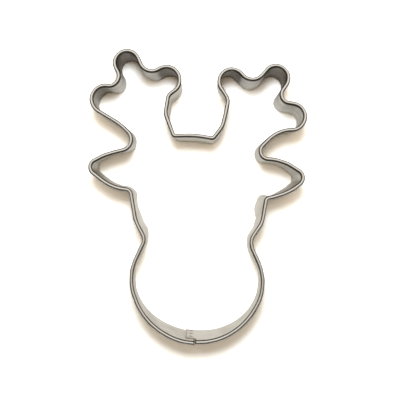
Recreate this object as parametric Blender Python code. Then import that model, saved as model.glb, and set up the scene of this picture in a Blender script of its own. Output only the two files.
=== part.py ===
# A reindeer-face cookie cutter. One thin metal strip stands on its cutting edge and is bent to the outline of the
# face. Its top edge is rolled outward into a bead. Its two ends lap at the bottom of the nose, where three spot
# welds hold them together.
# Frame: X across the face, Y from the nose to the antlers, Z up from the cutting edge to the bead. The origin is
# under the middle of the outline's box, on the plane that the cutting edge stands on.

import math
from collections import namedtuple

import bmesh
import bpy
from mathutils import Matrix, Vector

MM = 0.001

# Overall sizes
CUTTER_LENGTH = 109.9 * MM  # from the nose to the highest lobe of the antlers, over the bead
STRIP_HEIGHT = 25 * MM  # from the cutting edge to the top of the bead

# The strip and its rolled edge
SHEET = 0.3 * MM
BEAD_WIDTH = 1.5 * MM
BEAD_RADIUS = BEAD_WIDTH / 2
FLAP_DEPTH = 3 * MM  # how far the rolled edge reaches down outside the wall
FLAP_GAP = 0.1 * MM  # between the flap's lower end and the wall
BEAD_STEPS = 6  # flat faces round the outside of the bead
BEAD_INNER_STEPS = 4

# The lap seam. Places along the rim count from the lowest point of the nose, and grow to the right.
SEAM_END = -1.04 * MM  # the outer ply stops here, bead and all
SEAM_LAP = 3.6 * MM  # the inner ply runs this far under it
SEAM_BEAD_GAP = 0.2 * MM  # between the two ends of the bead
TAB_DROP = 5.5 * MM  # the inner ply has no bead inside the lap, and is cut down this far below the top
TAB_HEIGHT = STRIP_HEIGHT - TAB_DROP
PLY_GAP = 0.08 * MM
PLY_SHIFT = (SHEET + PLY_GAP) / 2  # each ply stands this far off the outline at the seam
PLY_RUN_OUT = 9 * MM  # over which a ply comes back to the outline

# The spot welds
WELD_DIAMETER = 1.6 * MM
WELD_CLEARANCE = 0.1 * MM  # all round the nugget in its hole
WELD_DENT = 0.04 * MM  # how far each end of the nugget lies below the sheet's face
WELD_INSET = 1.56 * MM  # from the end of the outer ply
WELD_FOOT_MARGIN = 3 * MM  # from the cutting edge up to the lowest weld
WELD_TAB_MARGIN = 3.5 * MM  # from the highest weld up to the tab's top
LOWEST_WELD = WELD_FOOT_MARGIN
HIGHEST_WELD = TAB_HEIGHT - WELD_TAB_MARGIN
WELD_HEIGHTS = {"lower": LOWEST_WELD, "middle": (LOWEST_WELD + HIGHEST_WELD) / 2, "upper": HIGHEST_WELD}
WELD_SIDES = 20
DRILL_SHARE = 4  # the drill's length, in thicknesses of the two plies

LARGEST_SAG = 0.045 * MM  # how far a flat may lie off its arc
LONG_RUN = 1 * MM  # a straight run longer than this has a stop halfway
SAME_PLACE = SHEET / 10  # two stops closer than this are one
SMALLEST_BEND = BEAD_RADIUS + SHEET / 4  # the bead has to fit round the inside of the sharpest corners
SHARP_ANGLE = math.radians(40)  # edges sharper than this aren't shaded smooth

LEFT = 1
RIGHT = -1

# The bends of the strip in the order that it is rolled, starting along the bottom of the nose to the right. Each
# is a circle that the bead's centre line follows, and a straight run joins it to the next. A left bend has its
# centre inside the cutter. The thin wall doesn't stand upright everywhere: splay is how far outward of the bead
# the cutting edge stands at the middle of the bend, and splay_after halfway along the run to the next one. All in
# millimetres, for a face as long as CUTTER_LENGTH.
Bend = namedtuple("Bend", "name x y radius side splay splay_after")
BENDS = (
    Bend("nose", -1.0, -28.5, 24.5, LEFT, -0.25, 1.3),
    Bend("cheek_right", 4.8, -30.6, 18.5, LEFT, 0.75, -0.5),
    Bend("waist_right", 24.6, -16.1, 5.5, RIGHT, 0.25, 0.35),
    Bend("neck_right", 15.5, -5.3, 8.1, LEFT, -0.4, -1.7),
    Bend("ear_root_right", 25.9, -0.7, 1.4, RIGHT, -1.2, 0.2),
    Bend("ear_lower_right", 23.3, 22.4, 21.6, LEFT, -0.5, -0.8),
    Bend("ear_tip_right", 35.2, 8.2, 3.1, LEFT, -1.2, -0.3),
    Bend("ear_upper_right", 24.6, -3.4, 18.6, LEFT, 0.3, 0.3),
    Bend("ear_notch_right", 25.4, 18.1, 2.9, RIGHT, -0.1, -0.3),
    Bend("antler_right", 34.3, 13.7, 12.3, RIGHT, 0.2, 0.1),
    Bend("outer_lobe_right", 34.2, 30.9, 4.9, LEFT, 0.1, -0.5),
    Bend("outer_valley_right", 33.3, 39.1, 3.0, RIGHT, -0.5, 0.3),
    Bend("middle_lobe_right", 28.2, 45.2, 4.7, LEFT, -0.2, 0),
    Bend("inner_valley_right", 19.5, 49.7, 4.9, RIGHT, -0.3, 0.2),
    Bend("inner_lobe_right", 11.8, 43.9, 4.7, LEFT, 1.5, -0.2),
    Bend("crown_upper_right", 6.2, 36.4, 4.1, RIGHT, -0.4, 0),
    Bend("crown_side_right", -0.1, 31.5, 9.2, RIGHT, 0, -0.2),
    Bend("crown_corner_right", 4.5, 23.9, 0.9, RIGHT, 0, 0),
    Bend("crown_base", -4.8, -16.4, 40.4, LEFT, 0, 0),
    Bend("crown_corner_left", -9.2, 24.7, 0.825, RIGHT, 0.8, 1.0),
    Bend("crown_side_left", -6.8, 32.6, 5.9, RIGHT, 1.2, 1.3),
    Bend("crown_upper_left", -9.0, 37.2, 3.0, RIGHT, 1.1, 1.05),
    Bend("inner_lobe_left", -12.5, 44.5, 5.0, LEFT, 0.95, 0.1),
    Bend("inner_valley_left", -17.9, 52.5, 4.6, RIGHT, 0.35, 0.55),
    Bend("middle_lobe_left", -27.1, 50.8, 4.6, LEFT, 0.5, -0.3),
    Bend("outer_valley_left", -33.8, 46.0, 3.6, RIGHT, -0.1, 1.0),
    Bend("outer_lobe_left", -35.2, 37.4, 5.1, LEFT, 0.6, -0.1),
    Bend("antler_left", -43.5, 10.4, 22.3, RIGHT, 0, -0.3),
    Bend("ear_notch_left", -29.6, 22.4, 4.0, RIGHT, 0.5, 1.55),
    Bend("ear_upper_left", -25.3, -9.2, 27.7, LEFT, 1.45, 1.15),
    Bend("ear_tip_left", -37.9, 12.2, 2.9, LEFT, 0, -0.3),
    Bend("ear_lower_left", -26.3, 20.4, 16.5, LEFT, -0.5, -0.7),
    Bend("ear_root_left", -27.8, 1.7, 2.2, RIGHT, 0, 0.45),
    Bend("neck_left", -9.8, -3.1, 14.8, LEFT, -0.4, -0.65),
    Bend("waist_left", -24.7, -14.7, 3.8, RIGHT, 0.3, 0.25),
    Bend("cheek_left", -6.9, -29.5, 18.6, LEFT, 0.95, 1.45),
)

Circle = namedtuple("Circle", "centre radius side splay splay_after")
Station = namedtuple("Station", "rim heading along splay")


def clear_scene():
    for obj in list(bpy.data.objects):
        bpy.data.objects.remove(obj)


def outward(heading):
    # To the right of the way that the strip runs.
    return Vector((math.sin(heading), -math.cos(heading)))


def on_circle(circle, heading):
    # Where the bead's centre line runs along the circle with this heading.
    return circle.centre + circle.side * circle.radius * outward(heading)


def bend_circles():
    # The bends as circles in metres.
    named = {bend.name: bend for bend in BENDS}
    lowest, highest = named["nose"], named["middle_lobe_left"]
    drawn_length = (highest.y + highest.radius) - (lowest.y - lowest.radius)
    scale = (CUTTER_LENGTH - BEAD_WIDTH) / drawn_length
    drawn = [
        Circle(
            Vector((bend.x, bend.y)) * scale,
            bend.radius * scale,
            bend.side,
            bend.splay * scale,
            bend.splay_after * scale,
        )
        for bend in BENDS
    ]
    runs = run_headings(drawn)
    return [widened(circle, runs[i - 1], runs[i]) for i, circle in enumerate(drawn)]


def widened(circle, start, end):
    # A bend too tight for the bead is opened up to the smallest one, still tangent to the runs on both its sides.
    extra = max(SMALLEST_BEND - circle.radius, 0.0)
    turn = turn_between(start, end, circle.side)
    inward = -circle.side * outward(start + turn / 2)
    centre = circle.centre + inward * extra / math.cos(turn / 2)
    return circle._replace(centre=centre, radius=circle.radius + extra)


def run_headings(circles):
    # The heading of the straight run from each circle to the next.
    headings = []
    for here, there in zip(circles, circles[1:] + circles[:1]):
        apart = there.centre - here.centre
        swing = math.asin((there.side * there.radius - here.side * here.radius) / apart.length)
        headings.append(math.atan2(apart.y, apart.x) - swing)
    return headings


def turn_between(start, end, side):
    return side * ((end - start) * side % math.tau)


def steps_for(radius, turn):
    flat_turn = 2 * math.acos(1 - LARGEST_SAG / radius)
    return max(1, math.ceil(abs(turn) / flat_turn))


def ease(share):
    share = min(max(share, 0.0), 1.0)
    return share * share * (3 - 2 * share)


def splay_at(along, anchors):
    # The splay eases from each anchor's to the next one's.
    for (start, before), (end, after) in zip(anchors, anchors[1:]):
        if along <= end:
            return before + (after - before) * ease((along - start) / (end - start))
    return anchors[-1][1]


def outline_stations():
    # Stops along the strip, from the end of the inner ply, right round the face, to the end of the outer ply.
    circles = bend_circles()
    runs = run_headings(circles)
    nose = circles[0]
    seam = SEAM_END / nose.radius
    bead_start = (SEAM_END + SEAM_BEAD_GAP) / nose.radius
    tab_end = (SEAM_END - SEAM_LAP) / nose.radius
    arcs = [(nose, tab_end, bead_start), (nose, bead_start, runs[0])]
    arcs += [(circle, runs[i], runs[i + 1]) for i, circle in enumerate(circles[1:])]
    arcs.append((nose, runs[-1], seam))

    stops = []
    spans = []  # the first and the last stop of each arc
    for circle, start, end in arcs:
        turn = turn_between(start, end, circle.side)
        steps = steps_for(circle.radius, turn)
        headings = [start + turn * step / steps for step in range(steps + 1)]
        arc_stops = [(on_circle(circle, heading), heading) for heading in headings]
        if stops:
            run = arc_stops[0][0] - stops[-1][0]
            if run.length < SAME_PLACE:
                arc_stops.pop(0)
            elif run.length > LONG_RUN:
                stops.append((stops[-1][0] + run / 2, start))
        spans.append((len(stops), len(stops) + len(arc_stops) - 1))
        stops += arc_stops
    along = [0.0]
    for (here, _), (there, _) in zip(stops, stops[1:]):
        along.append(along[-1] + (there - here).length)

    anchors = [(0.0, nose.splay), (SEAM_LAP + SEAM_BEAD_GAP, nose.splay)]
    for i, circle in enumerate(circles):
        first, last = spans[i + 1]
        if circle is not nose:
            anchors.append(((along[first] + along[last]) / 2, circle.splay))
        anchors.append(((along[last] + along[spans[i + 2][0]]) / 2, circle.splay_after))
    anchors += [(along[-1] - SEAM_LAP, nose.splay), (along[-1], nose.splay)]
    stations = [Station(rim, heading, at, splay_at(at, anchors)) for (rim, heading), at in zip(stops, along)]
    return stations, spans[0][1]


def ply_shift(station, length):
    # The inner ply is drawn in at the start of the strip, and the outer ply pushed out at its end.
    def near(distance):
        return ease(1 - max(0.0, distance - SEAM_LAP) / PLY_RUN_OUT)

    return PLY_SHIFT * (near(length - station.along) - near(station.along))


def place(station, offset, height, shift):
    # A point of the wall: how far outward of the bead's centre line where the wall is upright, and how high.
    splay = station.splay * (1 - height / STRIP_HEIGHT)
    flat = station.rim + (offset + shift + splay) * outward(station.heading)
    return Vector((flat.x, flat.y, height))


def arc_points(centre, radius, start, end, steps):
    turns = [start + (end - start) * step / steps for step in range(steps + 1)]
    return [(centre[0] + radius * math.cos(turn), centre[1] + radius * math.sin(turn)) for turn in turns]


def strip_profile():
    # (offset, height) round the strip where it has its bead: up the inner face, over the bead, down the flap,
    # back up inside it, and down the outer face to the cutting edge.
    bead_centre = (0.0, STRIP_HEIGHT - BEAD_RADIUS)
    wall_outside = SHEET - BEAD_RADIUS
    flap_reach = BEAD_RADIUS - (wall_outside + FLAP_GAP + SHEET)
    flap_lean = math.atan2(flap_reach, FLAP_DEPTH - BEAD_RADIUS)
    over = arc_points(bead_centre, BEAD_RADIUS, math.pi, -flap_lean, BEAD_STEPS)
    under = arc_points(bead_centre, BEAD_RADIUS - SHEET, -flap_lean, math.pi, BEAD_INNER_STEPS)
    drop = over[-1][1] - (STRIP_HEIGHT - FLAP_DEPTH)
    flap_foot = (over[-1][0] - drop * math.tan(flap_lean), STRIP_HEIGHT - FLAP_DEPTH)
    flap_inner_foot = (
        flap_foot[0] - SHEET * math.cos(flap_lean),
        flap_foot[1] + SHEET * math.sin(flap_lean),
    )
    return [(-BEAD_RADIUS, 0.0)] + over + [flap_foot, flap_inner_foot] + under + [(wall_outside, 0.0)]


def band_mesh(stations, tab_stations, middle):
    length = stations[-1].along
    profile = strip_profile()
    inside, outside = -BEAD_RADIUS, SHEET - BEAD_RADIUS
    bm = bmesh.new()

    def ring(station, points):
        shift = ply_shift(station, length)
        return [bm.verts.new(place(station, *point, shift) - middle) for point in points]

    def bridge(here, there):
        for i in range(len(here)):
            bm.faces.new((here[i], here[i - 1], there[i - 1], there[i]))

    tab_profile = [(inside, 0.0), (inside, TAB_HEIGHT), (outside, TAB_HEIGHT), (outside, 0.0)]
    tab_rings = [ring(station, tab_profile) for station in stations[: tab_stations + 1]]
    for here, there in zip(tab_rings, tab_rings[1:]):
        bridge(here, there)
    bm.faces.new(tab_rings[0])

    # The tab's last ring has the foot of the beaded strip's first one, and its top lies in that strip's end.
    foot_in, tab_in, tab_out, foot_out = tab_rings[-1]
    first = [foot_in] + ring(stations[tab_stations], profile[1:-1]) + [foot_out]
    rings = [first] + [ring(station, profile) for station in stations[tab_stations + 1 :]]
    bm.faces.new([tab_in] + first[1:-1] + [tab_out])
    for i in range(len(profile)):
        corners = [first[i], first[i - 1], rings[1][i - 1], rings[1][i]]
        if i == 1:
            corners.insert(1, tab_in)
        if i == len(profile) - 1:
            corners.insert(1, tab_out)
        bm.faces.new(corners)
    for here, there in zip(rings[1:], rings[2:]):
        bridge(here, there)
    bm.faces.new(rings[-1])
    bmesh.ops.recalc_face_normals(bm, faces=bm.faces)

    mesh = bpy.data.meshes.new("cutter_band")
    bm.to_mesh(mesh)
    bm.free()
    return mesh


def outline_middle(stations):
    # The middle of the box round the bead.
    length = stations[-1].along
    points = [place(stop, BEAD_RADIUS, STRIP_HEIGHT, ply_shift(stop, length)) for stop in stations]
    middle = [(min(values) + max(values)) / 2 for values in zip(*points)]
    return Vector((middle[0], middle[1], 0.0))


def weld_frame(height, middle):
    # A frame at a weld's centre, with its Z along the weld, square to the wall.
    nose = bend_circles()[0]
    heading = (SEAM_END - WELD_INSET) / nose.radius
    here = Station(on_circle(nose, heading), heading, 0.0, nose.splay)
    mid_sheet = SHEET / 2 - BEAD_RADIUS
    centre = place(here, mid_sheet, height, 0.0)
    up = (place(here, mid_sheet, STRIP_HEIGHT, 0.0) - centre).normalized()
    side = Vector((math.cos(heading), math.sin(heading), 0.0))
    axis = side.cross(up).normalized()
    rotation = Matrix((side, axis.cross(side), axis)).transposed().to_4x4()
    return Matrix.Translation(centre - middle) @ rotation


def cylinder_mesh(name, radius, depth):
    bm = bmesh.new()
    bmesh.ops.create_cone(
        bm, cap_ends=True, segments=WELD_SIDES, radius1=radius, radius2=radius, depth=depth
    )
    mesh = bpy.data.meshes.new(name)
    bm.to_mesh(mesh)
    bm.free()
    return mesh


def metal(name, colour, roughness):
    material = bpy.data.materials.new(name)
    material.use_nodes = True
    shader = material.node_tree.nodes["Principled BSDF"]
    shader.inputs["Base Color"].default_value = (*colour, 1.0)
    shader.inputs["Roughness"].default_value = roughness
    shader.inputs["Metallic"].default_value = 1.0
    return material


def add_object(mesh, material, frame=None):
    mesh.shade_smooth()
    mesh.set_sharp_from_angle(angle=SHARP_ANGLE)
    if material:
        mesh.materials.append(material)
    obj = bpy.data.objects.new(mesh.name, mesh)
    bpy.context.scene.collection.objects.link(obj)
    if frame:
        obj.matrix_world = frame
    return obj


def add_weld(band, name, height, middle, material):
    frame = weld_frame(height, middle)
    pack_depth = 2 * SHEET + PLY_GAP
    nugget = cylinder_mesh("spot_weld_" + name, WELD_DIAMETER / 2, pack_depth - 2 * WELD_DENT)
    add_object(nugget, material, frame)
    drill = cylinder_mesh("weld_hole_" + name, WELD_DIAMETER / 2 + WELD_CLEARANCE, DRILL_SHARE * pack_depth)
    hole = add_object(drill, None, frame)
    hole.hide_render = True
    hole.display_type = "WIRE"
    cut = band.modifiers.new("weld_hole_" + name, "BOOLEAN")
    cut.operation = "DIFFERENCE"
    cut.object = hole


def build():
    clear_scene()
    stations, tab_stations = outline_stations()
    middle = outline_middle(stations)
    tinplate = metal("tinplate", (0.78, 0.76, 0.72), 0.3)
    weld_metal = metal("weld_metal", (0.45, 0.41, 0.37), 0.5)
    band = add_object(band_mesh(stations, tab_stations, middle), tinplate)
    for name, height in WELD_HEIGHTS.items():
        add_weld(band, name, height, middle, weld_metal)


build()
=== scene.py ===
# Looks of the reindeer-face cookie cutter: the tin strip with its rolled edge, its lapped seam and its welds.
import math
from collections import namedtuple

import bmesh
import bpy
import numpy as np
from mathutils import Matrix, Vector


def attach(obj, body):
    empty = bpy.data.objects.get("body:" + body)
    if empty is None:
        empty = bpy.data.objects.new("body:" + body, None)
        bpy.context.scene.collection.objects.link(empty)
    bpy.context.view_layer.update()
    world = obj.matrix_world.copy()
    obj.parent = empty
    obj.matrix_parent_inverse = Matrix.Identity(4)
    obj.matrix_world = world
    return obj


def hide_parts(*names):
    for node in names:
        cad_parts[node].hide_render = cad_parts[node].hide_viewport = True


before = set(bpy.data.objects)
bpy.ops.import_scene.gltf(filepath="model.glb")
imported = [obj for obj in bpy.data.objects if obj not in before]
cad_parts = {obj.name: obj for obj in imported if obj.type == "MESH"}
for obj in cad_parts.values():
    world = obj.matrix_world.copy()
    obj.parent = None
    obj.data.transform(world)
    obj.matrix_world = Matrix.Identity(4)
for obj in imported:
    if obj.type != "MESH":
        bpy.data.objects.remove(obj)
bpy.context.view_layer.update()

mm = 0.001

# the strip, its bead and its seam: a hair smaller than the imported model, so that nothing stands out of it
strip = {
    "length": 109.84 * mm,
    "height": 24.98 * mm,
    "sheet": 0.3 * mm,
    "rows": 12,  # along the wall's height
    "step": 0.45 * mm,  # between two stations
    "turn": math.radians(4.5),  # most that a bend turns between two stations
    "edge": 0.04 * mm,  # worn off the corners of the cutting edge
    "wave": 0.05 * mm,  # how far the thin wall bulges
    "waveLength": 21 * mm,
    "calmNearSeam": 18 * mm,  # it doesn't bulge at the seam
    "samePlace": 0.03 * mm,  # two stations closer than this are one
    "sharpEdge": math.radians(38),  # edges sharper than this aren't shaded smooth
}
bead = {
    "radius": 0.75 * mm,
    "uneven": 0.035,  # share of the radius, never above the full one
    "unevenLength": 7 * mm,
    "outerSteps": 16,
    "innerSteps": 8,
    "flapDepth": 3 * mm,
    "flapGap": 0.1 * mm,
    "flapRows": 4,
    "ragged": 0.12 * mm,  # how unevenly the flap's lower edge runs
    "raggedLength": 13 * mm,
    "pucker": 0.07 * mm,  # ripples where the flap is squeezed in a hollow bend
    "puckerLength": 1.7 * mm,
    "puckerBend": 4 * mm,  # it is strongest in bends of this radius and less
    "puckerSpread": 2 * mm,
}
seam = {
    "end": -1.04 * mm,  # from the lowest point of the nose, to the right
    "lap": 3.6 * mm,
    "beadGap": 0.25 * mm,
    "tabHeight": 19.5 * mm,
    "plyGap": 0.08 * mm,
    "runOut": 9 * mm,
}

# The bends of the strip in the order that it is rolled, in mm. Side is 1 where it turns left and -1 where
# it turns right. Splay is how far outward of the bead the cutting edge stands at the bend's middle, and
# splayAfter halfway to the next bend.
Bend = namedtuple("Bend", "name x y radius side splay splayAfter")
bends = (
    Bend("nose", -1.0, -28.5, 24.5, 1, -0.25, 1.3),
    Bend("cheekRight", 4.8, -30.6, 18.5, 1, 0.75, -0.5),
    Bend("waistRight", 24.6, -16.1, 5.5, -1, 0.25, 0.35),
    Bend("neckRight", 15.5, -5.3, 8.1, 1, -0.4, -1.7),
    Bend("earRootRight", 25.9, -0.7, 1.4, -1, -1.2, 0.2),
    Bend("earLowerRight", 23.3, 22.4, 21.6, 1, -0.5, -0.8),
    Bend("earTipRight", 35.2, 8.2, 3.1, 1, -1.2, -0.3),
    Bend("earUpperRight", 24.6, -3.4, 18.6, 1, 0.3, 0.3),
    Bend("earNotchRight", 25.4, 18.1, 2.9, -1, -0.1, -0.3),
    Bend("antlerRight", 34.3, 13.7, 12.3, -1, 0.2, 0.1),
    Bend("outerLobeRight", 34.2, 30.9, 4.9, 1, 0.1, -0.5),
    Bend("outerValleyRight", 33.3, 39.1, 3.0, -1, -0.5, 0.3),
    Bend("middleLobeRight", 28.2, 45.2, 4.7, 1, -0.2, 0),
    Bend("innerValleyRight", 19.5, 49.7, 4.9, -1, -0.3, 0.2),
    Bend("innerLobeRight", 11.8, 43.9, 4.7, 1, 1.5, -0.2),
    Bend("crownUpperRight", 6.2, 36.4, 4.1, -1, -0.4, 0),
    Bend("crownSideRight", -0.1, 31.5, 9.2, -1, 0, -0.2),
    Bend("crownCornerRight", 4.5, 23.9, 0.9, -1, 0, 0),
    Bend("crownBase", -4.8, -16.4, 40.4, 1, 0, 0),
    Bend("crownCornerLeft", -9.2, 24.7, 0.825, -1, 0.8, 1.0),
    Bend("crownSideLeft", -6.8, 32.6, 5.9, -1, 1.2, 1.3),
    Bend("crownUpperLeft", -9.0, 37.2, 3.0, -1, 1.1, 1.05),
    Bend("innerLobeLeft", -12.5, 44.5, 5.0, 1, 0.95, 0.1),
    Bend("innerValleyLeft", -17.9, 52.5, 4.6, -1, 0.35, 0.55),
    Bend("middleLobeLeft", -27.1, 50.8, 4.6, 1, 0.5, -0.3),
    Bend("outerValleyLeft", -33.8, 46.0, 3.6, -1, -0.1, 1.0),
    Bend("outerLobeLeft", -35.2, 37.4, 5.1, 1, 0.6, -0.1),
    Bend("antlerLeft", -43.5, 10.4, 22.3, -1, 0, -0.3),
    Bend("earNotchLeft", -29.6, 22.4, 4.0, -1, 0.5, 1.55),
    Bend("earUpperLeft", -25.3, -9.2, 27.7, 1, 1.45, 1.15),
    Bend("earTipLeft", -37.9, 12.2, 2.9, 1, 0, -0.3),
    Bend("earLowerLeft", -26.3, 20.4, 16.5, 1, -0.5, -0.7),
    Bend("earRootLeft", -27.8, 1.7, 2.2, -1, 0, 0.45),
    Bend("neckLeft", -9.8, -3.1, 14.8, 1, -0.4, -0.65),
    Bend("waistLeft", -24.7, -14.7, 3.8, -1, 0.3, 0.25),
    Bend("cheekLeft", -6.9, -29.5, 18.6, 1, 0.95, 1.45),
)
nose, topLobe = bends[0], next(bend for bend in bends if bend.name == "middleLobeLeft")
drawnLength = (topLobe.y + topLobe.radius) - (nose.y - nose.radius)
drawScale = (strip["length"] - 2 * bead["radius"]) / drawnLength
noseRadius = nose.radius * drawScale
plyShift = (strip["sheet"] + seam["plyGap"]) / 2
smallestBend = bead["radius"] + strip["sheet"] / 4  # the bead has to fit round the sharpest corners


def outward(heading):
    # to the right of the way that the strip runs
    return np.stack([np.sin(heading), -np.cos(heading)], axis=-1)


def bendCircles():
    # centres and signed radii of the bends
    centres = np.array([(bend.x, bend.y) for bend in bends]) * drawScale
    radii = np.array([max(bend.radius * drawScale, smallestBend) * bend.side for bend in bends])
    return centres, radii


def runHeadings(centres, radii):
    # heading of the straight run from each bend to the next
    apart = np.roll(centres, -1, axis=0) - centres
    swing = np.arcsin((np.roll(radii, -1) - radii) / np.hypot(apart[:, 0], apart[:, 1]))
    return np.arctan2(apart[:, 1], apart[:, 0]) - swing


def seamArcs(runs):
    # each arc: its bend, and the headings where it starts and ends
    tabEnd = (seam["end"] - seam["lap"]) / noseRadius
    beadStart = (seam["end"] + seam["beadGap"]) / noseRadius
    arcs = [(0, tabEnd, beadStart), (0, beadStart, runs[0])]
    arcs += [(i, runs[i - 1], runs[i]) for i in range(1, len(bends))]
    arcs.append((0, runs[-1], seam["end"] / noseRadius))
    return arcs


def eased(share):
    share = np.clip(share, 0, 1)
    return share * share * (3 - 2 * share)


def splayAlong(along, spans):
    # the splay eases from one bend's middle to the halfway point of the next run, and so on round the face
    noseSplay, seamEnd = nose.splay, along[-1]
    anchors = [(0, noseSplay), (seam["lap"] + seam["beadGap"], noseSplay)]
    for i, bend in enumerate(bends):
        first, last = spans[i + 1]
        if i:
            anchors.append(((along[first] + along[last]) / 2, bend.splay))
        anchors.append(((along[last] + along[spans[i + 2][0]]) / 2, bend.splayAfter))
    anchors += [(seamEnd - seam["lap"], noseSplay), (seamEnd, noseSplay)]
    places, splays = np.array(anchors, dtype=float).T
    before = np.clip(np.searchsorted(places, along, side="left") - 1, 0, len(places) - 2)
    share = (along - places[before]) / (places[before + 1] - places[before])
    return (splays[before] + (splays[before + 1] - splays[before]) * eased(share)) * drawScale


def walkStrip():
    # stations along the whole strip, from the inner ply's end round the face to the outer ply's end
    # each row: where the bead's centre line is, which way is outward, and how tightly the strip bends
    centres, radii = bendCircles()
    rows, spans, count = [], [], 0
    for i, start, end in seamArcs(runHeadings(centres, radii)):
        side = np.sign(radii[i])
        turn = side * ((end - start) * side % math.tau)
        steps = max(abs(turn) / strip["turn"], abs(turn * radii[i]) / strip["step"], 2)
        steps = math.ceil(steps)
        out = outward(start + turn * np.linspace(0, 1, steps + 1))
        arc = np.hstack([centres[i] + radii[i] * out, out, np.full((steps + 1, 1), 1 / radii[i])])
        if rows:
            last, first = rows[-1][-1], arc[0]
            gap = math.hypot(*(first - last)[:2])
            if gap < strip["samePlace"]:
                arc = arc[1:]
            else:
                stops = np.linspace(0, 1, max(2, math.ceil(gap / strip["step"]) + 1))[1:-1, None]
                run = last + (first - last) * stops
                run[:, 4] = 0
                rows.append(run)
                count += len(run)
        spans.append((count, count + len(arc) - 1))
        rows.append(arc)
        count += len(arc)
    table = np.vstack(rows)
    along = np.concatenate([[0], np.cumsum(np.hypot(*np.diff(table[:, 0:2], axis=0).T))])
    return {
        "rim": table[:, 0:2],
        "rimOut": table[:, 2:4],
        "curve": table[:, 4],
        "along": along,
        "splay": splayAlong(along, spans),
        "tab": spans[0][1],
    }


def plyShifts(along):
    # the inner ply is drawn in at the strip's start, and the outer ply pushed out at its end
    def near(distance):
        return eased(1 - np.maximum(distance - seam["lap"], 0) / seam["runOut"])

    return plyShift * (near(along[-1] - along) - near(along))


def ripple(along, wavelength, start):
    # an uneven, smooth wave between about -1 and 1, of three sines that never fall into step
    turn = math.tau * along / wavelength
    wave = np.sin(turn + start)
    wave = wave + 0.7 * np.sin(1.618 * turn + 2.4 * start)
    wave = wave + 0.5 * np.sin(0.618 * turn + 4.1 * start)
    return wave / 1.7


def spread(weights, along, reach):
    # the weights as a running mean over the reach
    ends = np.concatenate([[0], np.cumsum(weights[:-1] * np.diff(along))])
    low = np.interp(along - reach / 2, along, ends)
    high = np.interp(along + reach / 2, along, ends)
    return (high - low) / reach


# where painted shade goes: in pockets that the strip itself closes in, and in the antlers' tight hollow bends
shadePockets = {
    "reach": 15 * mm,  # what is farther off than this shelters nothing
    "rays": 15,
    "fan": 75,  # degrees to each side of straight out
    "ownWall": 0.3 * mm,  # a ray that meets the strip nearer than this has met the wall it starts from
    "pocketSpread": 3 * mm,
    "tightBend": 6 * mm,  # painted shade goes in hollow bends of about this radius and less
    "tightFrom": 0.75,  # share of that bend at which it starts
    "tightRise": 0.3,  # and over which it grows
    "antlerShadeFrom": (36 * mm, 46 * mm),  # more of it further up the antlers
    "bendSpread": 5 * mm,
}


def pocketDepth(side):
    # how much of what each station faces, on its inner or outer side, is the strip itself close by, and more
    # where the strip bends tightly round it
    start, out = path["rim"], path["rimOut"] * side
    first, edge = path["rim"][:-1], np.diff(path["rim"], axis=0)
    deep = np.zeros(stationCount)
    turns = np.radians(np.linspace(-shadePockets["fan"], shadePockets["fan"], shadePockets["rays"]))
    for cosine, sine in zip(np.cos(turns), np.sin(turns)):
        x, y = out.T
        ray = np.column_stack([x * cosine - y * sine, x * sine + y * cosine])
        cross = ray[:, None, 0] * edge[None, :, 1] - ray[:, None, 1] * edge[None, :, 0]
        gap = first[None] - start[:, None]
        with np.errstate(divide="ignore", invalid="ignore"):
            far = (gap[..., 0] * edge[None, :, 1] - gap[..., 1] * edge[None, :, 0]) / cross
            share = (gap[..., 0] * ray[:, None, 1] - gap[..., 1] * ray[:, None, 0]) / cross
        hit = (share >= 0) & (share <= 1) & (far > shadePockets["ownWall"])
        nearest = np.where(hit, far, np.inf).min(axis=1)
        deep += np.clip(1 - nearest / shadePockets["reach"], 0, 1) * cosine
    pocket = spread(deep / np.cos(turns).sum(), path["along"], shadePockets["pocketSpread"])
    tightness = shadePockets["tightBend"] * -side * path["curve"]
    hollow = np.clip((tightness - shadePockets["tightFrom"]) / shadePockets["tightRise"], 0, 1)
    low, high = shadePockets["antlerShadeFrom"]
    hollow = hollow * np.clip((path["rim"][:, 1] - low) / (high - low), 0, 1)
    return pocket + spread(hollow, path["along"], shadePockets["bendSpread"])


path = walkStrip()
stationCount = len(path["along"])
path["shift"] = plyShifts(path["along"])
path["pocketIn"], path["pocketOut"] = pocketDepth(-1), pocketDepth(1)
print("strip: %d stations, %.1f mm" % (stationCount, path["along"][-1] / mm))


def place(stations, offset, height):
    # points of the wall: how far outward of the bead's centre line where it is upright, and how high
    splayed = offset + path["splay"][stations][:, None] * (1 - height / strip["height"])
    flat = path["rim"][stations][:, None] + path["rimOut"][stations][:, None] * splayed[..., None]
    return np.concatenate([flat, height[..., None]], axis=-1)


def outlineMiddle():
    everywhere = np.arange(stationCount)
    offset = (bead["radius"] + path["shift"])[:, None]
    rim = place(everywhere, offset, np.full_like(offset, strip["height"]))[:, 0, 0:2]
    return np.array([*(rim.min(axis=0) + rim.max(axis=0)) / 2, 0.0])


middle = outlineMiddle()


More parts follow.
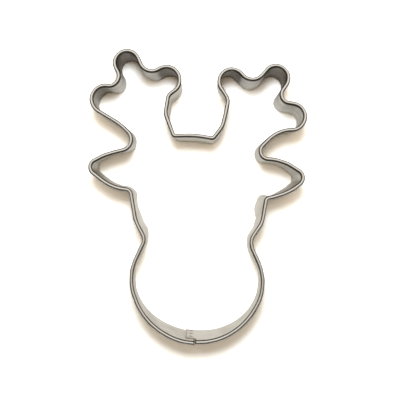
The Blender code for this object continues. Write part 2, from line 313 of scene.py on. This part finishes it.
def sectionProfile():
    # offset and height of every point round the section, at every station, and how far down the flap it is
    along = path["along"][:, None]
    thick, top = strip["sheet"], strip["height"]
    radius = bead["radius"] * (1 + bead["uneven"] * (ripple(along, bead["unevenLength"], 1.3) - 1))
    inside, outside = -bead["radius"], thick - bead["radius"]
    centre = radius - bead["radius"]
    ragged = bead["ragged"] * ripple(along, bead["raggedLength"], 0.4)
    flapFoot = top - bead["flapDepth"] + ragged
    reach = centre + radius - (outside + bead["flapGap"] + thick)
    lean = np.arctan2(reach, bead["flapDepth"] - radius)

    def column(value):
        return np.broadcast_to(value, along.shape).astype(float)

    def arc(arcRadius, start, end, steps):
        turn = start + (end - start) * np.linspace(0, 1, steps + 1)[None, :]
        return centre + arcRadius * np.cos(turn), top - radius + arcRadius * np.sin(turn)

    edge, lastRow = strip["edge"], strip["rows"]
    tabRow = round(lastRow * seam["tabHeight"] / (top - bead["radius"]))
    # one row of the wall lies at the tab's top, and the last one meets the bead
    shares = np.interp(np.arange(lastRow + 1), [0, tabRow, lastRow], [0, seam["tabHeight"] / top, 1])
    wallHeights = np.where(shares < 1, edge + (shares * top - edge) * (shares > 0), top - radius)
    overOffset, overHeight = arc(radius, math.pi, -lean, bead["outerSteps"])
    underOffset, underHeight = arc(radius - thick, -lean, math.pi, bead["innerSteps"])
    flapOut = overOffset[:, -1:] - (overHeight[:, -1:] - flapFoot) * np.tan(lean)
    down = np.linspace(0, 1, bead["flapRows"] + 1)[None, 1:]
    flapOffset = overOffset[:, -1:] + (flapOut - overOffset[:, -1:]) * down
    flapHeight = overHeight[:, -1:] + (flapFoot - overHeight[:, -1:]) * down
    backOffset = flapOffset[:, ::-1] - thick * np.cos(lean)
    backHeight = flapHeight[:, ::-1] + thick * np.sin(lean)
    wallDown = wallHeights[:, -2::-1]
    runs = [
        (column(inside + edge), column(0.0), 0),
        (inside + 0 * wallHeights, wallHeights, 0),
        (overOffset[:, 1:], overHeight[:, 1:], 0),
        (flapOffset, flapHeight, down),
        (backOffset, backHeight, down[:, ::-1]),
        (underOffset, underHeight, 0),
        (outside + 0 * wallDown, wallDown, 0),
        (column(outside - edge), column(0.0), 0),
    ]
    offset = np.hstack([run[0] for run in runs])
    height = np.hstack([run[1] for run in runs])
    loose = np.hstack([run[2] + 0 * run[0] for run in runs])
    tabIn, tabOut = 1 + tabRow, offset.shape[1] - 2 - tabRow
    return offset, height, loose, tabIn, tabOut


def loosened(offset, height, loose):
    # the bulge of the thin wall, and the puckers of the flap in hollow bends
    along = path["along"][:, None]
    share = height / strip["height"]
    bulge = ripple(along, strip["waveLength"], 2.0) * np.sin(math.pi * share)
    bulge += 0.5 * ripple(along, strip["waveLength"] / 2, 0.7) * np.sin(math.tau * share)
    hollow = np.clip(-path["curve"] * bead["puckerBend"], 0, 1)
    hollow = spread(hollow, path["along"], bead["puckerSpread"])[:, None]
    pucker = hollow * loose**2 * (0.6 + 0.4 * ripple(along, bead["puckerLength"], 3.1))
    fromSeam = np.minimum(along, along[-1] - along)
    bulge = bulge * eased(fromSeam / strip["calmNearSeam"])
    return offset + path["shift"][:, None] + strip["wave"] * bulge + bead["pucker"] * pucker


def storeValues(mesh, name, kind, values):
    # values for the material, one for each point
    field = "vector" if kind == "FLOAT_VECTOR" else "value"
    layer = mesh.attributes.new(name, kind, "POINT")
    layer.data.foreach_set(field, values.astype(np.float32).ravel())


def bandMesh():
    offset, height, loose, tabIn, tabOut = sectionProfile()
    points = place(np.arange(stationCount), loosened(offset, height, loose), height) - middle
    ringSize = offset.shape[1]
    tab = path["tab"]
    innerEnd = strip["rows"] + 2 + bead["outerSteps"] // 2  # points up to here face into the outline
    ids = np.arange(stationCount * ringSize).reshape(stationCount, ringSize)

    def skin(rings):
        here, there = rings[:-1], rings[1:]
        corners = [here, there, np.roll(there, -1, axis=1), np.roll(here, -1, axis=1)]
        return np.stack(corners, axis=-1).reshape(-1, 4)

    tabRound = np.concatenate([np.arange(tabIn + 1), np.arange(tabOut, ringSize)])
    faces = np.vstack([skin(ids[: tab + 1, tabRound]), skin(ids[tab:])]).tolist()
    faces.append(ids[0, tabRound].tolist())
    faces.append(ids[tab, tabIn : tabOut + 1].tolist())
    faces.append(ids[-1].tolist())
    # the inner ply has no bead inside the lap, so some points of its sections aren't used
    used = np.zeros(ids.size, dtype=bool)
    used[ids[tab:].ravel()] = True
    used[ids[:tab, tabRound].ravel()] = True
    renumber = np.cumsum(used) - 1
    faces = [[int(renumber[i]) for i in face] for face in faces]
    mesh = bpy.data.meshes.new("cutterStrip")
    mesh.from_pydata(points.reshape(-1, 3)[used].tolist(), [], faces)
    # the strip laid out flat: how far along it, how far across it, and how high it stands
    across = np.cumsum(np.hypot(np.diff(offset), np.diff(height)), axis=1)
    across = np.concatenate([np.zeros((stationCount, 1)), across], axis=1)
    laid = np.stack([np.broadcast_to(path["along"][:, None], across.shape), across, height], axis=-1)
    storeValues(mesh, "laidOut", "FLOAT_VECTOR", laid.reshape(-1, 3)[used])
    pocket = np.where(np.arange(ringSize) < innerEnd, path["pocketIn"][:, None], path["pocketOut"][:, None])
    storeValues(mesh, "pocket", "FLOAT", pocket.ravel()[used])
    tidyMesh(mesh, strip["sharpEdge"])
    return mesh


def tidyMesh(mesh, sharp):
    bm = bmesh.new()
    bm.from_mesh(mesh)
    bmesh.ops.recalc_face_normals(bm, faces=bm.faces)
    bm.to_mesh(mesh)
    bm.free()
    mesh.shade_smooth()
    mesh.set_sharp_from_angle(angle=sharp)


weld = {
    "diameter": 1.6 * mm,
    "inset": 1.56 * mm,
    "heights": {"lower": 3 * mm, "middle": 9.5 * mm, "upper": 16 * mm},
    "spokes": 40,
    # radius and rise above the sheet, in mm, from the middle of the pressed dimple out over its raised ring
    "press": [
        (0.0, 0.012),
        (0.35, 0.013),
        (0.62, 0.018),
        (0.8, 0.034),
        (0.95, 0.05),
        (1.08, 0.048),
        (1.22, 0.028),
        (1.3, -0.02),
    ],
    "sharpEdge": math.radians(50),
    "scorched": (0.07, 0.055, 0.04, 1),  # in the dimple
    "annealed": (0.25, 0.20, 0.16, 1),
    "ring": (0.61, 0.59, 0.55, 1),
    "ringFrom": (0.6 * mm, 0.95 * mm),
    "grazing": (0.6, 0.57, 0.53, 1),  # how much of the shine stays when seen along the wall
    "roughness": 0.42,
    "pits": 2600,  # per metre
    "pitsFrom": (0.4, 0.62),  # between which levels of that noise the metal is burnt
    "pitRelief": 0.5,
    "pitDepth": 0.03 * mm,
}


def weldMesh(name, level):
    # one nugget: a dimple on the inner ply, a barrel through both sheets, and a dimple on the outer ply
    heading = (seam["end"] - weld["inset"]) / noseRadius
    centres, radii = bendCircles()
    face = strip["sheet"] + seam["plyGap"] / 2
    rings = [(radius * mm, -face - rise * mm) for radius, rise in weld["press"]]
    rings += [(weld["diameter"] / 2, -face / 2), (weld["diameter"] / 2, face / 2)]
    rings += [(radius * mm, face + rise * mm) for radius, rise in reversed(weld["press"])]
    midSheet = strip["sheet"] / 2 - bead["radius"]
    spokes = np.arange(weld["spokes"]) * math.tau / weld["spokes"]
    points, faces = [], []
    for radius, depth in rings:
        turned = heading + radius * np.cos(spokes) / noseRadius
        high = level + radius * np.sin(spokes)
        splayed = path["splay"][0] * (1 - high / strip["height"])
        flat = centres[0] + (radii[0] + midSheet + depth + splayed)[:, None] * outward(turned)
        ring = np.column_stack([flat, high]) - middle
        points.append(ring.mean(axis=0, keepdims=True) if radius == 0 else ring)
    starts = np.cumsum([0] + [len(ring) for ring in points])
    for near, far, first, second in zip(points, points[1:], starts, starts[1:]):
        for i in range(weld["spokes"]):
            after = (i + 1) % weld["spokes"]
            corners = [first + i % len(near), first + after % len(near)]
            corners += [second + after % len(far), second + i % len(far)]
            # the middle point would come twice, and makes a triangle
            faces.append(list(dict.fromkeys(int(corner) for corner in corners)))
    mesh = bpy.data.meshes.new(name)
    mesh.from_pydata(np.vstack(points).tolist(), [], faces)
    fromMiddle = [np.full(len(ring), radius) for ring, (radius, depth) in zip(points, rings)]
    storeValues(mesh, "fromMiddle", "FLOAT", np.concatenate(fromMiddle))
    tidyMesh(mesh, weld["sharpEdge"])
    return mesh


class Wire:
    # a socket that Python's own operators work on
    def __init__(self, maker, socket):
        self.maker, self.socket = maker, socket

    def maths(self, operation, first, second):
        return self.maker.node("Math", {"operation": operation}, {0: first, 1: second})

    def __add__(self, other):
        return self.maths("ADD", self, other)

    def __radd__(self, other):
        return self.maths("ADD", other, self)

    def __sub__(self, other):
        return self.maths("SUBTRACT", self, other)

    def __rsub__(self, other):
        return self.maths("SUBTRACT", other, self)

    def __mul__(self, other):
        return self.maths("MULTIPLY", self, other)

    def __rmul__(self, other):
        return self.maths("MULTIPLY", other, self)

    def most(self, other):
        return self.maths("MAXIMUM", self, other)


class Finish:
    # one material, or the sky, and the nodes in it
    def __init__(self, name, owner=None):
        self.owner = owner or bpy.data.materials.new(name)
        self.owner.use_nodes = True
        self.tree = self.owner.node_tree
        self.tree.nodes.clear()

    def node(self, kind, settings=None, inputs=None, output=0):
        made = self.tree.nodes.new("ShaderNode" + kind)
        for key, value in (settings or {}).items():
            if key == "stops":
                self.setStops(made.color_ramp, value)
            else:
                setattr(made, key, value)
        for key, value in (inputs or {}).items():
            if isinstance(value, Wire):
                self.tree.links.new(value.socket, made.inputs[key])
            else:
                made.inputs[key].default_value = value
        return Wire(self, made.outputs[output]) if made.outputs else made

    def setStops(self, ramp, stops):
        while len(ramp.elements) < len(stops):
            ramp.elements.new(0.5)
        for element, (position, value) in zip(ramp.elements, stops):
            element.position = position
            element.color = value

    def ramp(self, value, stops):
        return self.node("ValToRGB", {"stops": stops}, {"Fac": value})

    def between(self, value, low, high):
        # 0 below low, 1 above high, smooth between them
        settings = {"interpolation_type": "SMOOTHSTEP"}
        return self.node("MapRange", settings, {"Value": value, "From Min": low, "From Max": high})

    def mixed(self, share, first, second):
        return self.node("Mix", {"data_type": "RGBA"}, {"Factor": share, "A": first, "B": second}, 2)

    def scaled(self, vector, scale):
        return self.node("VectorMath", {"operation": "MULTIPLY"}, {0: vector, 1: scale})

    def noise(self, vector, scale, detail, roughness):
        inputs = {"Vector": vector, "Scale": scale, "Detail": detail, "Roughness": roughness}
        return self.node("TexNoise", {}, inputs)

    def finish(self, shader):
        kind = "OutputWorld" if self.owner.id_type == "WORLD" else "OutputMaterial"
        self.node(kind, {}, {"Surface": shader})
        return self.owner


tin = {
    "bright": (0.61, 0.59, 0.55, 1),
    "dull": (0.52, 0.50, 0.465, 1),
    "stain": (0.34, 0.30, 0.24, 1),
    "pocket": (0.15, 0.125, 0.095, 1),  # painted shade in the pockets that the strip closes in
    "paintedShade": (0.035, 0.022, 0.014, 1),  # painted shade: along both flanks of the bead, at the inner ply's end and at the bead's two ends
    "rolled": (0.45, 0.48, 0.525, 1),
    "polished": (0.655, 0.70, 0.76, 1),  # the bead's crest, rubbed bright
    "grazing": (0.75, 0.745, 0.735, 1),  # how much of the shine stays when seen along the wall
    "metal": 0.8,
    "roughness": 0.42,
    "polishedRoughness": 0.14,
    "shadeRoughness": 0.8,
    "shadeShine": 0.1,
    # how far below the rim each of these starts and is complete
    "rolledFrom": (0.92 * mm, 0.62 * mm),
    "crestFrom": (0.24 * mm, 0.07 * mm),
    "beadShadeFrom": (1.8 * mm, 0.9 * mm),
    "beadShadeTo": (0.42 * mm, 0.16 * mm),
    "beadShadeShare": 0.95,
    "tabShadeShare": 0.35,  # how much painted shade lies along the edges of the inner ply's end
    "rimFrom": (0.7 * mm, 0.2 * mm),  # below the tab's top
    "endFrom": (0.15 * mm, 0.6 * mm),  # from the strip's end
    "lapEnds": 0.2 * mm,  # over which the painted shade at the inner ply's end fades out
    "gapFrom": (0.3 * mm, 0.5 * mm),  # from each end of the bead
    "gapRise": 2 * mm,  # from the tab's top up
    # noise per metre along and across the strip: its rolling grain is long one way and fine the other
    "grain": (90, 7000, 0),
    "streak": (35, 1400, 0),
    "band": (14, 330, 0),
    # and in space
    "cloud": 160,
    "speck": 1500,
    "scuff": (900, 260, 4200),
    # between which levels of its noise each mark sets in
    "wornFrom": (0.34, 0.72),
    "speckFrom": (0.66, 0.8),
    "speckShare": 0.35,
    "scuffFrom": (0.62, 0.74),
    "pocketFrom": (0.3, 0.75),
    "relief": 0.35,
    "reliefDepth": 0.02 * mm,
}


def tinplate():
    make = Finish("tinplate")
    laid = make.node("Attribute", {"attribute_name": "laidOut"}, {}, 1)
    pocket = make.node("Attribute", {"attribute_name": "pocket"}, {}, "Fac")
    along = make.node("SeparateXYZ", {}, {"Vector": laid}, "X")
    height = make.node("SeparateXYZ", {}, {"Vector": laid}, "Z")
    spot = make.node("TexCoord", {}, {}, 3)

    def below(edge, depths):
        # 0 below the first depth under the edge, 1 above the second
        return make.between(height, edge - depths[0], edge - depths[1])

    top = strip["height"]
    rolled = below(top, tin["rolledFrom"])
    crest = below(top, tin["crestFrom"])
    # painted shade in a band round the bead's flanks, below its crest, on both sides
    paintedShade = below(top, tin["beadShadeFrom"]) * (1 - below(top, tin["beadShadeTo"]))
    grain = make.noise(make.scaled(laid, tin["grain"]), 1.0, 4.0, 0.6)
    streak = make.noise(make.scaled(laid, tin["streak"]), 1.0, 3.0, 0.55)
    band = make.noise(make.scaled(laid, tin["band"]), 1.0, 2.0, 0.5)
    cloud = make.noise(spot, tin["cloud"], 4.0, 0.55)
    speck = make.noise(spot, tin["speck"], 2.0, 0.5)
    scuff = make.noise(make.scaled(spot, tin["scuff"]), 1.0, 2.0, 0.6)
    scuff = make.between(scuff, *tin["scuffFrom"])

    worn = make.between(cloud + 0.35 * streak + 0.5 * band - 0.42, *tin["wornFrom"])
    base = make.mixed(worn, tin["bright"], tin["dull"])
    stained = make.between(speck, *tin["speckFrom"]) * tin["speckShare"]
    base = make.mixed(stained, base, tin["stain"])
    # painted shade: the tin is darker in narrow pockets and in the antlers' tight hollow bends
    pocketShaded = make.between(pocket + 0.1 * (cloud - 0.5), *tin["pocketFrom"])
    base = make.mixed(pocketShaded, base, tin["pocket"])
    base = make.mixed(rolled, base, tin["rolled"])
    base = make.mixed(crest, base, tin["polished"])

    # the inner ply's end: painted shade along its upper and its upright edge
    onTab = 1 - make.between(along, seam["lap"], seam["lap"] + tin["lapEnds"])
    tabShade = below(seam["tabHeight"], tin["rimFrom"]) * onTab
    tabShade = tabShade.most(1 - make.between(along, *tin["endFrom"])) * (1 - rolled)
    # painted shade: the two ends of the bead are dark where they face each other across the seam's slot
    beadStart, beadEnd = seam["lap"] + seam["beadGap"], path["along"][-1]
    near, far = tin["gapFrom"]
    gap = 1 - make.between(along, beadStart + near, beadStart + far)
    gap = gap.most(make.between(along, beadEnd - far, beadEnd - near))
    gap = gap * make.between(height, seam["tabHeight"], seam["tabHeight"] + tin["gapRise"])
    # all the painted shade together: the bead's flanks, the inner ply's end and the bead's ends
    shadeCover = (tin["tabShadeShare"] * tabShade).most(tin["beadShadeShare"] * paintedShade).most(gap)

    rough = tin["roughness"] + 0.10 * (worn - 0.5) + 0.08 * (grain - 0.5) + 0.10 * scuff
    rough = rough + rolled * (tin["polishedRoughness"] - rough)
    metal = tin["metal"] + rolled * (1 - tin["metal"])
    relief = 0.5 * grain + 0.35 * streak + 0.3 * scuff + 3.0 * band
    bumps = {"Strength": tin["relief"], "Distance": tin["reliefDepth"], "Height": relief}
    clean = make.node("BsdfPrincipled", {}, {
        "Base Color": base,
        "Roughness": rough,
        "Metallic": metal,
        "Normal": make.node("Bump", {}, bumps),
        "Specular Tint": tin["grazing"],
    })
    # painted shade: a near-black matte coat laid over the tin where the masks above say
    shadeCoat = make.node("BsdfPrincipled", {}, {
        "Base Color": tin["paintedShade"],
        "Roughness": tin["shadeRoughness"],
        "Specular IOR Level": tin["shadeShine"],
    })
    return make.finish(make.node("MixShader", {}, {0: shadeCover, 1: clean, 2: shadeCoat}))


def weldMetal():
    make = Finish("weldMetal")
    spot = make.node("TexCoord", {}, {}, 3)
    fromMiddle = make.node("Attribute", {"attribute_name": "fromMiddle"}, {}, "Fac")
    pitted = make.noise(spot, weld["pits"], 3.0, 0.6)
    burnt = make.between(pitted, *weld["pitsFrom"])
    ring = make.between(fromMiddle + 0.2 * mm * (pitted - 0.5), *weld["ringFrom"])
    base = make.mixed(burnt, weld["scorched"], weld["annealed"])
    base = make.mixed(ring, base, weld["ring"])
    bumps = {"Strength": weld["pitRelief"], "Distance": weld["pitDepth"], "Height": pitted}
    metal = make.node("BsdfPrincipled", {}, {
        "Base Color": base,
        "Roughness": weld["roughness"] + 0.2 * burnt,
        "Metallic": 1.0,
        "Normal": make.node("Bump", {}, bumps),
        "Specular Tint": weld["grazing"],
    })
    return make.finish(metal)


def addPiece(mesh, material, node):
    piece = bpy.data.objects.new(mesh.name, mesh)
    bpy.context.scene.collection.objects.link(piece)
    mesh.materials.append(material)
    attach(piece, "root")
    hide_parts(node)


addPiece(bandMesh(), tinplate(), "cutter_band")
print("band made")
weldFinish = weldMetal()
for name, level in weld["heights"].items():
    addPiece(weldMesh("weldNugget." + name, level), weldFinish, "spot_weld_" + name)
print("welds made")


# the table, the light and the camera
studio = {
    "floorSize": 16.0,
    "floorBelow": 0.02 * mm,
    "floorColour": (0.85, 0.85, 0.85, 1),
    "seenFloorColour": (1.0, 0.985, 0.96, 1),
    "overWhite": 0.37,  # how much more of it the camera sees, so that the table stays pure white
    "whiteFrom": (150 * mm, 350 * mm),  # the lamp's light fades out on the table, and plain white fades in
    "skyFace": (0.0, 0.42, 0.91),  # the brightest part is overhead, a little past the antlers
    "skyStretch": (0.55, 1, 1),  # and it is broader to both sides
    # by the cosine of the angle from that brightest part
    "skyStops": [
        (0.0, (0.045, 0.039, 0.029, 1)),
        (0.5, (0.07, 0.06, 0.044, 1)),
        (0.72, (0.38, 0.315, 0.22, 1)),
        (0.86, (0.81, 0.69, 0.54, 1)),
        (0.95, (1.18, 1.035, 0.86, 1)),
        (1.0, (1.32, 1.2, 1.03, 1)),
    ],
    "lampSpot": (-4 * mm, 79 * mm, 372 * mm),  # from the point of the table under the lens
    "lampSize": (64 * mm, 59 * mm),
    "lampWatts": 1.14,
    "lampColour": (0.87, 0.94, 1.0),
    # a weak warm lamp straight above the ears and antlers
    "fillSpot": (0.0, 24 * mm, 372 * mm),
    "fillRadius": 25 * mm,
    "fillCone": math.radians(23),
    "fillBlend": 0.8,
    "fillWatts": 0.7,
    "fillColour": (1.0, 0.83, 0.62),
}
lens = {
    "height": 347.2 * mm,
    "halfView": 74 * mm,  # half the picture's width, at the rim
    "sensor": 36.0,
    "nearest": 10 * mm,
}
underLens = Vector(-middle)


def seenRays(make):
    # 1 for the rays that see the surface itself: the camera's, and those in a polish or through glass
    camera = make.node("LightPath", {}, {}, "Is Camera Ray")
    glossy = make.node("LightPath", {}, {}, "Is Glossy Ray")
    through = make.node("LightPath", {}, {}, "Is Transmission Ray")
    return camera.most(glossy).most(through)


def addFloor():
    half = studio["floorSize"] / 2
    low = -studio["floorBelow"]
    corners = [(-half, -half, low), (half, -half, low), (half, half, low), (-half, half, low)]
    mesh = bpy.data.meshes.new("table")
    mesh.from_pydata(corners, [], [(0, 1, 2, 3)])
    floor = bpy.data.objects.new("table", mesh)
    bpy.context.scene.collection.objects.link(floor)
    make = Finish("tableTop")
    spot = make.node("TexCoord", {}, {}, "Object")
    away = make.node("VectorMath", {"operation": "LENGTH"}, {0: spot}, "Value")
    plain = make.node("BsdfDiffuse", {}, {"Color": studio["floorColour"]})
    seen = make.node("BsdfDiffuse", {}, {"Color": studio["seenFloorColour"]})
    # more than a colour can give back takes a second shader on top
    extra = [channel * studio["overWhite"] for channel in studio["seenFloorColour"][:3]]
    extra = make.node("BsdfDiffuse", {}, {"Color": (*extra, 1)})
    over = make.node("AddShader", {}, {0: seen, 1: extra})
    camera = make.node("LightPath", {}, {}, "Is Camera Ray")
    seen = make.node("MixShader", {}, {0: camera, 1: seen, 2: over})
    white = make.node("Emission", {}, {"Color": (1, 1, 1, 1), "Strength": 1.0})
    seen = make.node("MixShader", {}, {0: make.between(away, *studio["whiteFrom"]), 1: seen, 2: white})
    mesh.materials.append(make.finish(make.node("MixShader", {}, {0: seenRays(make), 1: plain, 2: seen})))


def addSky():
    world = bpy.data.worlds.new("studio")
    make = Finish("studio", world)
    toward = make.node("TexCoord", {}, {}, "Generated")
    toward = make.scaled(toward, studio["skyStretch"])
    toward = make.node("VectorMath", {"operation": "NORMALIZE"}, {0: toward})
    lift = make.node("VectorMath", {"operation": "DOT_PRODUCT"}, {0: toward, 1: studio["skyFace"]}, "Value")
    make.finish(make.node("Background", {}, {"Color": make.ramp(lift, studio["skyStops"])}))
    bpy.context.scene.world = world


def addLamp():
    lamp = bpy.data.lights.new("lamp", "AREA")
    lamp.shape = "RECTANGLE"
    lamp.size, lamp.size_y = studio["lampSize"]
    lamp.energy = studio["lampWatts"]
    lamp.color = studio["lampColour"]
    holder = bpy.data.objects.new("lamp", lamp)
    bpy.context.scene.collection.objects.link(holder)
    holder.location = underLens + Vector(studio["lampSpot"])
    holder.rotation_euler = (underLens - holder.location).to_track_quat("-Z", "Y").to_euler()
    holder.visible_glossy = False  # the tin shows the broad light overhead, and no burnt-out spot


def addFill():
    lamp = bpy.data.lights.new("fill", "SPOT")
    lamp.shadow_soft_size = studio["fillRadius"]
    lamp.spot_size = studio["fillCone"]
    lamp.spot_blend = studio["fillBlend"]
    lamp.energy = studio["fillWatts"]
    lamp.color = studio["fillColour"]
    holder = bpy.data.objects.new("fill", lamp)
    bpy.context.scene.collection.objects.link(holder)
    holder.location = studio["fillSpot"]
    holder.visible_glossy = False


def addCamera():
    camera = bpy.data.cameras.new("camera")
    camera.sensor_width = lens["sensor"]
    camera.lens = lens["sensor"] / 2 * (lens["height"] - strip["height"]) / lens["halfView"]
    camera.clip_start = lens["nearest"]
    holder = bpy.data.objects.new("camera", camera)
    bpy.context.scene.collection.objects.link(holder)
    holder.location = underLens + Vector((0, 0, lens["height"]))
    bpy.context.scene.camera = holder


addFloor()
addSky()
addLamp()
addFill()
addCamera()
bpy.context.scene.view_settings.view_transform = "Standard"
print("studio made")
